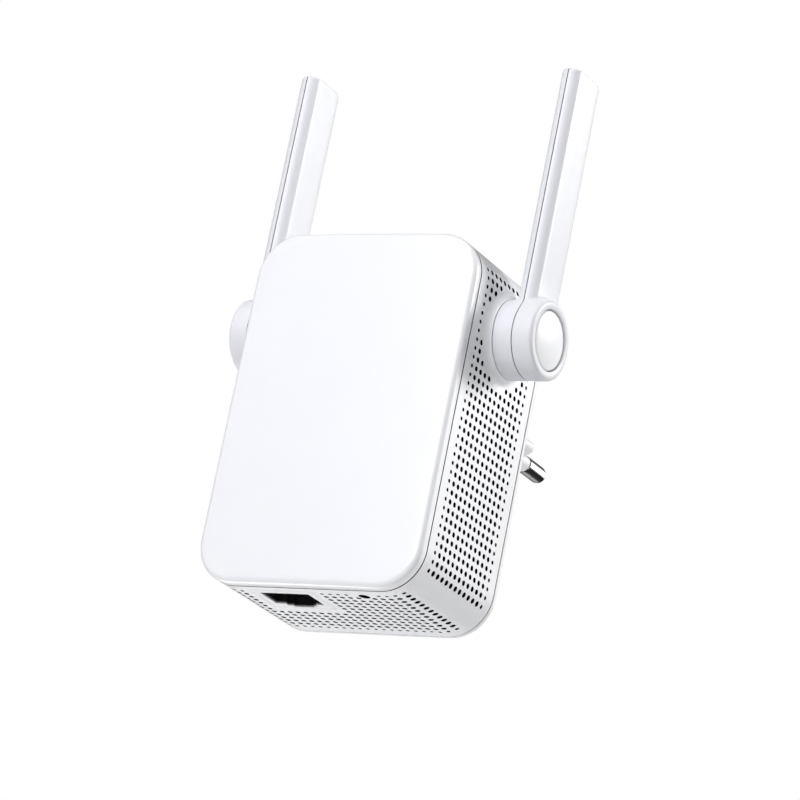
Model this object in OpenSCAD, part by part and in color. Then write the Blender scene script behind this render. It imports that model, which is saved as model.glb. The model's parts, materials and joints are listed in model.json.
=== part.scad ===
// Plug-in wifi range extender with two swivelling antennas.
// The origin is the centre of the plug face, between the two pins. +Y points into the wall
// socket and +Z points up, so the front cover faces -Y. All sizes are in millimetres.

/* [Housing] */
// Width of the body
body_w = 55; // [54.5:0.5:57]
// Height of the body
body_h = 80; // [79:0.5:86]
// Depth of the mid housing, from its front seam to its rear seam
housing_d = 30.4; // [30.2:0.2:31.2]
// Radius of the four upright-face corners
corner_r = 9.5; // [9:0.25:10]
// Wall thickness of the mid housing
wall = 2; // [1.8:0.1:2.2]
// Radius of the rounded edge around the front cover
front_edge_r = 0.8; // [0.6:0.1:1.3]
// Radius of the shallow crown of the front cover, curved from side to side
crown_r = 420; // [380:20:800]

/* [Vents] */
// Distance between neighbouring vent holes
vent_pitch = 2; // [2:0.05:2.1]
// Diameter of a vent hole
vent_d = 1.2; // [0.8:0.05:1.3]
// Diameter of the smaller holes in the first and last column
edge_vent_d = 0.9; // [0.6:0.05:1.1]

/* [Antennas] */
// Height of the antenna tip above the hub axis
antenna_h = 61.5; // [55:0.5:90]
// Width of the antenna blade, front to back
blade_w = 12.4; // [11:0.2:13.4]
// Thickness of the antenna blade
blade_t = 4.5; // [4.2:0.1:5]
// Radius of the antenna hub
hub_r = 8.75; // [8.6:0.05:9]

/* [Plug] */
// Distance between the two pin axes
pin_spacing = 19; // [18.6:0.1:19.2]
// Diameter of a bare pin tip
pin_d = 4; // [3.9:0.1:4.1]
// Length of a pin beyond the plug face
pin_len = 19; // [18.5:0.5:19.5]
// Depth of the plug block behind the rear cover
plug_d = 20; // [18:0.5:24]

/* [Controls] */
// Travel of the reset plunger
reset_travel = 0.3; // [0.2:0.05:0.35]
// Travel of the pairing button
pairing_travel = 0.5; // [0.3:0.05:0.55]

/* [Hidden] */
$fn = 64;

// Body planes
rear_cover_d = 2.5;
y_rear = -plug_d - rear_cover_d;
y_front = y_rear - housing_d;
z_bottom = -51.2;
z_top = z_bottom + body_h;
z_mid = (z_bottom + z_top) / 2;
x_side = body_w / 2;
x_inner = x_side - wall;
seam_gap = 0.26;
slip = 0.1;                       // clearance between parts that are pushed together
lip_t = 1.2;
lip_d = 2;
lip_inset = wall + slip;
board_inset = lip_inset + lip_t + slip;
cover_wall = 1.6;
front_d = 3.7;

// Plug pins
sleeve_outer_r = pin_d / 2 - 0.2; // of the insulation on a pin's root half

// Antenna hubs
hub_y = y_front + 15.3;
hub_z = z_bottom + 62.5;
flare_r = 1.8;
x_flare = x_side + 1.2;           // end of the fixed hub base
x_hub = x_flare + slip;           // start of the turning hub
x_seam = x_side + 5.9;            // parting plane of the two antenna shells
x_end = x_side + 10.7;            // outer end of the hub
sleeve_r = 3.2;
boss_face_x = x_side - 3.6;       // inner face of the hub base
shell_wall = 1.2;
flange_x = x_hub + 2.4;
hub_screw_offset = 4.6;
blade_top_r = 1;                  // of the tip's front and rear corners

// Boards
board_t = 1.2;
power_board_t = 1.6;
y_main = y_front + 2.1;           // rear face of the main board
y_power = y_rear - 2.2;           // front face of the power board
boss_r = 3.2;
boss_x = x_side - corner_r + 3.2;
boss_z_top = z_top - corner_r + 3.2;
boss_z_bottom = z_bottom + corner_r - 3.2;

// Openings in the body
jack_w = 15.3;
jack_x = -7.95;
jack_y1 = y_main + 11.5;
reset_x = 12.1;
reset_y = y_front + 3.9;
control_y = y_front + 5.2;        // lights and pairing button on the left side
light_zs = [for (i = [0:3]) z_bottom + 27.2 + 4 * i];
pairing_z = z_bottom + 20.2;
pairing_r = 2.6;

// Colours
shell_white = [0.93, 0.93, 0.94];
chrome = [0.78, 0.79, 0.80];
board_green = [0.10, 0.35, 0.20];
chip_black = [0.10, 0.10, 0.11];
copper = [0.72, 0.42, 0.20];
gold = [0.83, 0.68, 0.30];
steel = [0.65, 0.66, 0.68];

// ---------- Shape helpers ----------

// Cylinder along X
module rod_x(x0, x1, y, z, r) {
    translate([x0, y, z]) rotate([0, 90, 0]) cylinder(h = x1 - x0, r = r);
}

// Cylinder along Y
module rod_y(y0, y1, x, z, r) {
    translate([x, y0, z]) rotate([-90, 0, 0]) cylinder(h = y1 - y0, r = r);
}

// Cylinder along Z
module rod_z(z0, z1, x, y, r) {
    translate([x, y, z0]) cylinder(h = z1 - z0, r = r);
}

// Block given by its lowest and highest corners
module block(low, high) {
    translate(low) cube(high - low);
}

// Extrudes an outline drawn in X and Z along Y
module along_y(y0, y1) {
    translate([0, y1, 0]) rotate([90, 0, 0]) linear_extrude(y1 - y0) children();
}

// Extrudes an outline drawn in Y and Z along X
module along_x(x0, x1) {
    translate([x0, 0, 0]) rotate([90, 0, 90]) linear_extrude(x1 - x0) children();
}

// Rectangle with true round corners
module rounded_rect(w, h, r) {
    square([w - 2 * r, h], center = true);
    square([w, h - 2 * r], center = true);
    for (x = [-1, 1], z = [-1, 1])
        translate([x * (w / 2 - r), z * (h / 2 - r)]) circle(r);
}

// Outline of the body, moved inwards by an inset
module body_outline(inset) {
    translate([0, z_mid])
        rounded_rect(body_w - 2 * inset, body_h - 2 * inset, corner_r - inset);
}

// Cross-section of a slab of a given half width, whose far edge is rounded
module edge_profile(half, depth, edge) {
    square([half, depth - edge]);
    square([half - edge, depth]);
    translate([half - edge, depth - edge]) intersection() {
        circle(edge);
        square(edge);
    }
}

module wide_edge_profile(w, depth, edge) {
    for (m = [0, 1]) mirror([m, 0]) edge_profile(w / 2, depth, edge);
}

// Rounded slab in the outline of the body, growing along +Y, with its far edge rounded
module edged_slab(depth, edge) {
    run_w = body_w - 2 * corner_r;
    run_h = body_h - 2 * corner_r;
    translate([0, 0, z_mid]) {
        linear_extrude(run_h, center = true) wide_edge_profile(body_w, depth, edge);
        rotate([0, 90, 0]) linear_extrude(run_w, center = true)
            wide_edge_profile(body_h, depth, edge);
        for (mx = [0, 1], mz = [0, 1])
            mirror([mx, 0, 0]) mirror([0, 0, mz]) translate([run_w / 2, 0, -run_h / 2])
                rotate([-90, 0, 0]) rotate_extrude(angle = 90) edge_profile(corner_r, depth, edge);
    }
}

// Calls its children at the four board screws
module at_bosses() {
    for (x = [-boss_x, boss_x], z = [boss_z_top, boss_z_bottom])
        translate([x, 0, z]) children();
}

// Chip, can or other boxy part on the rear face of the main board
module on_main_board(x, z, w, h, depth, gap = 0) {
    block([x - w / 2, y_main + gap, z - h / 2], [x + w / 2, y_main + gap + depth, z + h / 2]);
}

// Boxy part on the front face of the power board
module on_power_board(x, z, w, h, depth) {
    block([x - w / 2, y_power - depth, z - h / 2], [x + w / 2, y_power, z + h / 2]);
}

// ---------- Casing ----------

// Space behind the crowned front face, moved inwards by an inset
module crown(inset) {
    rod_z(z_bottom - 1, z_top + 1, 0, y_front - front_d + crown_r, crown_r - inset, $fn = 720);
}

// Lip that pushes into the mid housing
module lip(y0, y1) {
    along_y(y0, y1) difference() {
        body_outline(lip_inset);
        body_outline(lip_inset + lip_t);
    }
}

// Snap bead, or the groove it clicks into
module snap_beads(r, len) {
    for (x = [-1, 1])
        rod_z(z_mid - len / 2, z_mid + len / 2, x * (x_inner - 0.2), y_front + 1, r);
}

module front_cover() {
    color(shell_white) {
        difference() {
            intersection() {
                translate([0, y_front - seam_gap / 2, 0]) mirror([0, 1, 0])
                    edged_slab(front_d - seam_gap / 2 + 0.5, front_edge_r);
                crown(0);
            }
            intersection() {
                along_y(y_front - front_d, y_front) body_outline(cover_wall);
                crown(cover_wall);
            }
        }
        lip(y_front - 1.4, y_front + lip_d);
        along_y(y_front - 1.4, y_front - seam_gap / 2) difference() {
            body_outline(cover_wall / 2);
            body_outline(lip_inset + lip_t);
        }
        snap_beads(0.45, 8);
    }
}

last_column = 12;                 // vent columns are counted from the front, from 0
hub_plain_r = 11;                 // plain ring around a hub
reset_plain_r = 2.3;              // plain ring around the reset hole
jack_border = 1;                  // plain border at the sides of the jack
top_border = 5.5;                 // plain strip at the top of the side walls

function vent_y(col) = y_front + 3.2 + vent_pitch * col;
function vent_r(col) = (col == 0 || col == last_column ? edge_vent_d : vent_d) / 2;
function near_hub(y, z) = norm([y - hub_y, z - hub_z]) < hub_plain_r;
function near_jack(x, y) = abs(x - jack_x) < jack_w / 2 + jack_border && y < jack_y1 + 2;
function near_reset(x, y) = norm([x - reset_x, y - reset_y]) < reset_plain_r;

// Vent holes through the side walls: +1 is the right wall, -1 the left wall, whose front columns
// make way for the controls
module side_vents(side) {
    for (row = [0:34], col = [side > 0 ? 0 : 4:last_column]) {
        y = vent_y(col);
        z = z_bottom + 6.03 + vent_pitch * row;
        blocked = near_hub(y, z) || z > z_top - top_border;
        x0 = side > 0 ? x_inner - 1 : -x_side - 1;
        if (!blocked) rod_x(x0, x0 + wall + 2, y, z, vent_r(col), $fn = 16);
    }
}

// Vent holes through the top and bottom walls: the top has a smaller block of them
module end_vents(top) {
    rows = top ? 6 : 11;
    for (row = [-rows:rows], col = [0:last_column]) {
        x = vent_pitch * row;
        y = vent_y(col);
        blocked = !top && (near_jack(x, y) || near_reset(x, y));
        z0 = top ? z_top - wall - 3 : z_bottom - 1;
        if (!blocked) rod_z(z0, z0 + wall + 4, x, y, vent_r(col), $fn = 16);
    }
}

// Fixed base of an antenna hub, flared into the side wall
module hub_base() {
    rod_x(boss_face_x, x_flare, hub_y, hub_z, 7);
    translate([x_side, hub_y, hub_z]) rotate([0, 90, 0]) rotate_extrude() difference() {
        translate([0, -0.6]) square([hub_r + flare_r, x_flare - x_side + 0.6]);
        translate([hub_r + flare_r, flare_r]) circle(flare_r);
    }
}

module mid_housing() {
    color(shell_white) difference() {
        union() {
            difference() {
                along_y(y_front + seam_gap / 2, y_rear - seam_gap / 2) difference() {
                    body_outline(0);
                    body_outline(wall);
                }
                side_vents(1);
                side_vents(-1);
                end_vents(true);
                end_vents(false);
            }
            for (m = [0, 1]) mirror([m, 0, 0]) hub_base();
            at_bosses() rod_y(y_main, y_power, 0, 0, boss_r);
        }
        for (m = [0, 1]) mirror([m, 0, 0])
            rod_x(boss_face_x - 1, x_flare + 1, hub_y, hub_z, sleeve_r + 0.05);
        at_bosses() {
            rod_y(y_main - 1, y_main + 7, 0, 0, 0.95);
            rod_y(y_power - 7, y_power + 1, 0, 0, 0.95);
        }
        block([jack_x - jack_w / 2 - slip, y_main - slip, z_bottom - 1],
              [jack_x + jack_w / 2 + slip, jack_y1 + slip, z_bottom + wall + 1]);
        rod_z(z_bottom - 1, z_bottom + wall + 1, reset_x, reset_y, 1.3);
        rod_x(-x_side - 1, -x_inner + 1, control_y, pairing_z, pairing_r + 0.05);
        for (z = light_zs) rod_x(-x_side - 1, -x_inner + 1, control_y, z, 0.65);
        snap_beads(0.55, 8.2);
    }
}

// Plug block outline: a long hexagon whose two end points are rounded
module plug_outline(inset) {
    half_w = 17.7 - inset;
    half_h = 6.85 - inset;
    end_r = 1.5 - inset / 2;
    slope = 31;                   // of the block's four slanted sides
    end_x = half_w - end_r;
    arc = [for (a = [-4:4]) [end_x, 0] + end_r * [cos(a * (90 - slope) / 4), sin(a * (90 - slope) / 4)]];
    flat_x = arc[8].x - (half_h - arc[8].y) / tan(slope);
    right = concat([[flat_x, -half_h]], arc, [[flat_x, half_h]]);
    polygon(concat(right, [for (p = right) -p]));
}

module rear_cover() {
    color(shell_white) difference() {
        union() {
            translate([0, y_rear + seam_gap / 2, 0])
                edged_slab(rear_cover_d - seam_gap / 2, 1.8);
            lip(y_rear - lip_d, y_rear + 1);
            along_y(-plug_d - 0.5, 0) plug_outline(0);
        }
        along_y(y_rear - lip_d - 1, -plug_d - 1.5) body_outline(lip_inset + lip_t);
        along_y(y_rear - 1, -2.5) plug_outline(2);
        for (x = [-1, 1]) rod_y(-3, 1, x * pin_spacing / 2, 0, sleeve_outer_r + 0.02);
    }
}

// ---------- Plug ----------

module plug_pin(side) {
    x = side * pin_spacing / 2;
    color(chrome) {
        rod_y(-9, 10.2, x, 0, 1.4);
        rod_y(-4.1, -2.6, x, 0, 3);
        rod_y(10, pin_len - pin_d / 2, x, 0, pin_d / 2);
        translate([x, pin_len - pin_d / 2, 0]) sphere(pin_d / 2);
    }
}

module plug_pin_left() { plug_pin(-1); }

module plug_pin_right() { plug_pin(1); }

module pin_sleeves() {
    color(shell_white) for (x = [-1, 1]) difference() {
        rod_y(-2.5, 9.98, x * pin_spacing / 2, 0, sleeve_outer_r);
        rod_y(-3, 11, x * pin_spacing / 2, 0, 1.42);
    }
}

// Sprung sockets on the pin roots, with straps to the power board
module mains_contacts() {
    color(copper) for (side = [-1, 1]) {
        x = side * pin_spacing / 2;
        difference() {
            union() {
                rod_y(-8.9, -5, x, 0, 2.2);
                block([x - 1.5, y_power + power_board_t + 0.02, 1.6], [x + 1.5, -5, 2]);
            }
            rod_y(-9, -4.9, x, 0, 1.43);
        }
    }
}

// ---------- Power supply ----------

module board(y0, thickness) {
    difference() {
        along_y(y0, y0 + thickness) body_outline(board_inset);
        at_bosses() rod_y(y0 - 1, y0 + thickness + 1, 0, 0, 1.2);
    }
}

module power_board() {
    color(board_green) board(y_power, power_board_t);
}

module fuse() {
    color("tan") {
        rod_x(-19, -12, y_power - 2.4, 13, 1.6);
        for (x = [-19.6, -11.4]) {
            rod_y(y_power - 2.7, y_power - 0.02, x, 13, 0.3);
            rod_x(min(x, -15.5), max(x, -15.5), y_power - 2.4, 13, 0.3);
        }
    }
}

module bridge_rectifier() {
    color(chip_black) on_power_board(-5, 6, 6.5, 5, 2.6);
}

// Round can standing on the power board, with a raised rim over its crimp groove
module can_capacitor(x, z, r, h) {
    translate([x, y_power - 0.05, z]) rotate([90, 0, 0]) rotate_extrude() difference() {
        edge_profile(r, h, 0.5);
        translate([r + 0.2, 1.6]) circle(0.5);
    }
}

module bulk_capacitors() {
    color([0.12, 0.16, 0.35]) for (z = [1, -9]) can_capacitor(-16, z, 4, 13);
}

module output_capacitors() {
    color([0.15, 0.30, 0.20]) for (z = [-4, -12]) can_capacitor(15, z, 3.15, 11);
}

module power_controller() {
    color(chip_black) on_power_board(5, 6, 5, 4, 1.6);
}

transformer_z = -14;
transformer_y = y_power - 8;

// Two E halves around the bobbin, drawn as one closed core
module transformer_core() {
    color([0.20, 0.20, 0.21])
        along_y(transformer_y - 2.5, transformer_y + 2.5) translate([0, transformer_z]) difference() {
            square([20, 18], center = true);
            for (x = [-5, 5]) translate([x, 0]) square([5, 12], center = true);
        }
}

module transformer_bobbin() {
    color([0.85, 0.80, 0.68]) difference() {
        union() {
            for (z = [-5.45, 5.45])
                block([-7.2, transformer_y - 7.2, transformer_z + z - 0.5],
                      [7.2, y_power - 0.05, transformer_z + z + 0.5]);
            block([-3.2, transformer_y - 3.2, transformer_z - 5.5],
                  [3.2, transformer_y + 3.2, transformer_z + 5.5]);
        }
        block([-2.55, transformer_y - 2.55, transformer_z - 7],
              [2.55, transformer_y + 2.55, transformer_z + 7]);
    }
}

module transformer_winding() {
    color([0.85, 0.72, 0.20]) difference() {
        rod_z(transformer_z - 4.9, transformer_z + 4.9, 0, transformer_y, 7.1);
        rod_z(transformer_z - 6, transformer_z + 6, 0, transformer_y, 4.56);
    }
}

module safety_capacitor() {
    color([0.20, 0.45, 0.75]) {
        rod_z(12.6, 15.4, 0, y_power - 5, 4);
        for (x = [-2.5, 2.5]) rod_y(y_power - 3, y_power - 0.02, x, 14, 0.3);
    }
}

// Drum core with a copper coil in its waist, potted into one piece
module filter_choke() {
    color([0.20, 0.20, 0.21]) {
        rod_y(y_power - 8, y_power - 6.6, -16, -19, 3.5);
        rod_y(y_power - 7, y_power - 1, -16, -19, 2.9);
        rod_y(y_power - 1.4, y_power - 0.05, -16, -19, 3.5);
    }
}

module output_rectifier() {
    color(chip_black) on_power_board(15, -20, 7, 5, 2.3);
}

module insulation_sheet() {
    color([0.80, 0.78, 0.70]) block([-20, y_power - 17.2, z_bottom + 18.2], [20, y_power - 16.8, 6]);
}

// ---------- Board link ----------

link_z = z_top - 7.3;
link_xs = [for (i = [0:5]) 2.54 * (i - 2.5)];

module link_header() {
    color(chip_black) difference() {
        on_main_board(0, link_z, 15.6, 5, 8.5);
        for (x = link_xs)
            block([x - 0.36, y_main + 1, link_z - 0.36], [x + 0.36, y_main + 9, link_z + 0.36]);
    }
}

module link_pins() {
    color(gold) for (x = link_xs)
        block([x - 0.32, y_main + 1.2, link_z - 0.32], [x + 0.32, y_power - 0.02, link_z + 0.32]);
}

// ---------- Main board ----------

module main_board() {
    color(board_green) board(y_main - board_t, board_t);
}

module board_screw(y_face, dir) {
    rotate([dir > 0 ? -90 : 90, 0, 0]) translate([0, 0, dir > 0 ? y_face : -y_face]) difference() {
        union() {
            cylinder(h = 1.3, r = 1.6);
            translate([0, 0, -6.5]) cylinder(h = 7, r = 0.9);
        }
        translate([0, 0, 0.6]) for (a = [0, 90]) rotate([0, 0, a]) cube([2, 0.5, 2], center = true);
    }
}

module board_screws() {
    color(steel) at_bosses() {
        board_screw(y_main - board_t, -1);
        board_screw(y_power + power_board_t, 1);
    }
}

soc_z = z_bottom + 41.2;

module wifi_processor() {
    color(chip_black) on_main_board(-10, soc_z, 12, 12, 1.2);
}

module memory_chip() {
    color(chip_black) on_main_board(2, soc_z, 8, 10, 1);
}

module radio_chip() {
    color(chip_black) on_main_board(15, soc_z - 2, 7, 7, 0.9);
}

module flash_chip() {
    color(chip_black) on_main_board(4, z_bottom + 23.2, 5, 4, 1.6);
}

module crystals() {
    color(steel) {
        on_main_board(12, z_bottom + 25.2, 3.2, 2.5, 0.8);
        on_main_board(15, z_bottom + 53.2, 3.2, 2.5, 0.8);
    }
}

// Pressed metal can, open towards the board
module shield_can(x, z, w, h) {
    difference() {
        on_main_board(x, z, w, h, 2.6, 0.02);
        on_main_board(x, z, w - 0.5, h - 0.5, 3.35, -1);
    }
}

module shield_cans() {
    color(steel) {
        shield_can(-6, soc_z, 26, 22);
        shield_can(15, soc_z - 2, 14, 16);
    }
}

module thermal_pad() {
    color([0.55, 0.60, 0.70]) on_main_board(-10, soc_z, 12, 12, 1.1, 1.22);
}

module heat_spreader() {
    color([0.70, 0.71, 0.73]) on_main_board(-6, soc_z, 26, 22, 1, 2.65);
}

module lan_magnetics() {
    color(chip_black) on_main_board(-8, z_bottom + 21.2, 12, 8, 4);
}

// ---------- Ethernet jack ----------

port_x0 = -14;
port_x1 = -1.8;
port_y0 = y_main + 1.8;
port_y1 = y_main + 9;
port_top = z_bottom + 12.4;

module ethernet_jack() {
    color(shell_white) difference() {
        block([jack_x - jack_w / 2, y_main, z_bottom], [jack_x + jack_w / 2, jack_y1, z_bottom + 16]);
        block([port_x0, port_y0, z_bottom - 1], [port_x1, port_y1, port_top]);
        block([port_x0 + 2.4, port_y1 - 1, z_bottom - 1], [port_x1 - 2.2, port_y1 + 1.1, port_top]);
        block([port_x0 + 3.6, port_y1, z_bottom - 1], [port_x1 - 3.4, port_y1 + 1.9, port_top]);
    }
}

// Eight sprung wires that lean into the port from its front wall
contact_t = 0.44;                   // section of a jack contact

// One spring contact of the jack, in (Y, Z): a short upright foot and a sloping arm
module contact_profile() {
    foot_y = port_y0 + 0.2;
    bend_z = z_bottom + 3.3;
    arm_y = 2.3;
    arm_z = 8.2;
    polygon([
        [foot_y, bend_z - 0.9], [foot_y + contact_t, bend_z - 0.9], [foot_y + contact_t, bend_z],
        [foot_y + contact_t + arm_y, bend_z + arm_z], [foot_y + arm_y, bend_z + arm_z + 0.12],
        [foot_y, bend_z + 0.12]
    ]);
}

module ethernet_contacts() {
    color(gold) for (i = [0:7]) {
        x = (port_x0 + port_x1) / 2 + 1.02 * (i - 3.5);
        translate([x - contact_t / 2, 0, 0]) rotate([90, 0, 90])
            linear_extrude(contact_t) contact_profile();
    }
}

// ---------- Controls ----------

module reset_switch() {
    color(chip_black) difference() {
        block([reset_x - 3, y_main, z_bottom + 2.8], [reset_x + 3, y_main + 3.7, z_bottom + 6.3]);
        rod_z(z_bottom + 2, z_bottom + 4.4, reset_x, reset_y, 1.15);
    }
}

module reset_button() {
    color([0.75, 0.75, 0.76])
        rod_z(z_bottom + 1, z_bottom + 4.35 - reset_travel, reset_x, reset_y, 1.1);
}

module pairing_switch() {
    color(chip_black)
        block([-x_inner + 2.6, y_main, pairing_z - 3], [-x_inner + 6, y_main + 4.8, pairing_z + 3]);
}

module pairing_button() {
    color([0.86, 0.86, 0.87]) {
        translate([-x_inner + 0.1, control_y, pairing_z]) rotate([0, -90, 0]) rotate_extrude()
            edge_profile(pairing_r, wall + 0.5, 0.4);
        rod_x(-x_inner + 0.1, -x_inner + 0.8, control_y, pairing_z, pairing_r + 0.5);
        rod_x(-x_inner + 0.7, -x_inner + 2.55 - pairing_travel, control_y, pairing_z, 1);
    }
}

led_x = -x_inner + 2.1;

module status_leds() {
    color([0.90, 0.90, 0.75]) for (z = light_zs) on_main_board(led_x, z, 1.6, 0.8, 0.6);
}

// Clear moulding that turns the light of each LED out through the side wall
module light_guide() {
    color([0.85, 0.90, 0.92, 0.6]) {
        for (z = light_zs) {
            block([led_x - 0.8, y_main + 0.65, z - 0.7], [led_x + 0.8, control_y + 0.8, z + 0.7]);
            rod_x(-x_side, led_x, control_y, z, 0.6);
        }
        block([led_x - 0.5, control_y - 0.5, light_zs[0]], [led_x + 0.5, control_y + 0.5, light_zs[3]]);
    }
}

// ---------- Antennas, drawn on the right ----------

coax_x = 12;
bend_r = 5;

module coax_cable() {
    rod_x(coax_x + bend_r, x_seam - 0.35, hub_y, hub_z, 0.6);
    translate([coax_x + bend_r, hub_y - bend_r, hub_z]) rotate([0, 0, 90])
        rotate_extrude(angle = 90) translate([bend_r, 0]) circle(0.6);
    rod_y(y_main + 1.52, hub_y - bend_r, coax_x, hub_z, 0.6);
}

module coax_cables() {
    color([0.22, 0.22, 0.24]) for (m = [0, 1]) mirror([m, 0, 0]) coax_cable();
}

module coax_connectors() {
    color(gold) for (x = [-coax_x, coax_x]) {
        on_main_board(x, hub_z, 3, 3, 0.6);
        rod_y(y_main + 0.5, y_main + 1.5, x, hub_z, 1);
    }
}

// Blade of both shells together, moved inwards by an inset
module blade(inset) {
    t = blade_t - 2 * inset;
    w = blade_w - 2 * inset;
    top = hub_z + antenna_h - inset;
    intersection() {
        translate([x_seam, hub_y, hub_z]) linear_extrude(antenna_h) {
            square([t, w - t], center = true);
            for (y = [-1, 1]) translate([0, y * (w - t) / 2]) circle(t / 2);
        }
        along_x(x_seam - t, x_seam + t) translate([hub_y, top - antenna_h])
            rounded_rect(w, 2 * antenna_h, blade_top_r);
    }
}

module hub_holes(x0, x1, r) {
    for (y = [-1, 1]) rod_x(x0, x1, hub_y + y * hub_screw_offset, hub_z, r);
}

module inner_shell() {
    difference() {
        union() {
            rod_x(x_hub, x_seam - 0.05, hub_y, hub_z, hub_r);
            intersection() {
                blade(0);
                block([0, hub_y - 20, hub_z], [x_seam - 0.05, hub_y + 20, hub_z + antenna_h + 1]);
            }
        }
        blade(shell_wall);
        rod_x(flange_x, x_end, hub_y, hub_z, hub_r - 1.35);
        rod_x(x_hub - 1, x_end, hub_y, hub_z, sleeve_r + 0.02);
        hub_holes(x_hub + 0.6, x_end, 0.75);
    }
}

module outer_shell() {
    difference() {
        union() {
            translate([x_seam + 0.05, hub_y, hub_z]) rotate([0, 90, 0]) rotate_extrude()
                edge_profile(hub_r, x_end - x_seam - 0.05, 1);
            intersection() {
                blade(0);
                block([x_seam + 0.05, hub_y - 20, hub_z],
                      [x_end + 1, hub_y + 20, hub_z + antenna_h + 1]);
            }
        }
        difference() {
            union() {
                blade(shell_wall);
                rod_x(x_seam - 1, x_end - 3.2, hub_y, hub_z, hub_r - 1.35);
            }
            hub_holes(x_seam, x_end, 1.7);
            rod_x(x_end - 3.2, x_end, hub_y, hub_z, hub_r - 1.35);
        }
        hub_holes(x_seam - 1, x_end, 0.85);
        hub_holes(x_end - 2.6, x_end, 1.6);
        rod_x(x_end - 1.6, x_end + 1, hub_y, hub_z, 6.6);
    }
}

module hub_cap() {
    dome_r = 35;
    top = x_end + 0.3;
    intersection() {
        rod_x(x_end - 1.58, top + 1, hub_y, hub_z, 6.5);
        translate([top - dome_r, hub_y, hub_z]) sphere(dome_r, $fn = 360);
    }
}

// Narrow circuit strip that radiates, standing inside the blade
module antenna_element() {
    block([x_seam - 0.3, hub_y - 2.2, hub_z - 2.5], [x_seam + 0.3, hub_y + 2.2, hub_z + 3]);
    block([x_seam - 0.3, hub_y - 3.6, hub_z + 2.4], [x_seam + 0.3, hub_y + 3.6, hub_z + antenna_h - 5]);
}

module pivot_sleeve() {
    difference() {
        union() {
            rod_x(flange_x, flange_x + 1, hub_y, hub_z, 6.2);
            rod_x(boss_face_x - 2.9, flange_x + 0.5, hub_y, hub_z, sleeve_r);
        }
        rod_x(boss_face_x - 4, x_end, hub_y, hub_z, 1.8);
        hub_holes(flange_x - 1, flange_x + 2, 0.9);
        difference() {
            rod_x(boss_face_x - 2.4, boss_face_x - 1.6, hub_y, hub_z, sleeve_r + 1);
            rod_x(boss_face_x - 3, boss_face_x, hub_y, hub_z, 2.7);
        }
    }
}

// Cone-shaped spring washer that gives the hub its friction
module friction_washer() {
    translate([boss_face_x, hub_y, hub_z]) rotate([0, 90, 0]) rotate_extrude()
        polygon([[3.3, -1.5], [5.5, -0.5], [5.5, -0.1], [3.3, -1.1]]);
}

module retaining_clip() {
    difference() {
        rod_x(boss_face_x - 2.35, boss_face_x - 1.65, hub_y, hub_z, 4.6);
        rod_x(boss_face_x - 3, boss_face_x, hub_y, hub_z, 2.72);
        block([boss_face_x - 3, hub_y - 6, hub_z - 1.6], [boss_face_x, hub_y, hub_z + 1.6]);
    }
}

module hub_screws() {
    for (y = [-1, 1]) {
        rod_x(x_end - 2.58, x_end - 1.65, hub_y + y * hub_screw_offset, hub_z, 1.5);
        rod_x(x_hub + 0.8, x_end - 2.5, hub_y + y * hub_screw_offset, hub_z, 0.7);
    }
}

module left() { mirror([1, 0, 0]) children(); }

module left_inner_shell() { color(shell_white) left() inner_shell(); }
module left_outer_shell() { color(shell_white) left() outer_shell(); }
module left_hub_cap() { color(shell_white) left() hub_cap(); }
module left_antenna_element() { color(board_green) left() antenna_element(); }
module left_pivot_sleeve() { color(steel) left() pivot_sleeve(); }
module left_friction_washer() { color(steel) left() friction_washer(); }
module left_retaining_clip() { color(steel) left() retaining_clip(); }
module left_hub_screws() { color(steel) left() hub_screws(); }
module right_inner_shell() { color(shell_white) inner_shell(); }
module right_outer_shell() { color(shell_white) outer_shell(); }
module right_hub_cap() { color(shell_white) hub_cap(); }
module right_antenna_element() { color(board_green) antenna_element(); }
module right_pivot_sleeve() { color(steel) pivot_sleeve(); }
module right_friction_washer() { color(steel) friction_washer(); }
module right_retaining_clip() { color(steel) retaining_clip(); }
module right_hub_screws() { color(steel) hub_screws(); }

front_cover();
mid_housing();
rear_cover();
plug_pin_left();
plug_pin_right();
pin_sleeves();
mains_contacts();
power_board();
fuse();
bridge_rectifier();
bulk_capacitors();
power_controller();
transformer_core();
transformer_bobbin();
transformer_winding();
safety_capacitor();
filter_choke();
output_rectifier();
output_capacitors();
insulation_sheet();
link_header();
link_pins();
main_board();
board_screws();
wifi_processor();
memory_chip();
radio_chip();
flash_chip();
crystals();
shield_cans();
thermal_pad();
heat_spreader();
lan_magnetics();
ethernet_jack();
ethernet_contacts();
reset_switch();
reset_button();
pairing_switch();
pairing_button();
status_leds();
light_guide();
coax_connectors();
coax_cables();
left_inner_shell();
left_outer_shell();
left_hub_cap();
left_antenna_element();
left_pivot_sleeve();
left_friction_washer();
left_retaining_clip();
left_hub_screws();
right_inner_shell();
right_outer_shell();
right_hub_cap();
right_antenna_element();
right_pivot_sleeve();
right_friction_washer();
right_retaining_clip();
right_hub_screws();
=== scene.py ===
"""Looks for a plug-in wifi range extender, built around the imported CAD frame.

Every piece is in metres in the CAD frame: +Y points into the wall, +Z up, and the origin is the
centre of the plug face. Visible shells are built here as smooth closed meshes that stand for
their CAD nodes; the vented housing and the inner pieces keep their CAD shape.
"""
import json
import math

import bmesh
import bpy
from mathutils import Matrix, Vector


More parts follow.
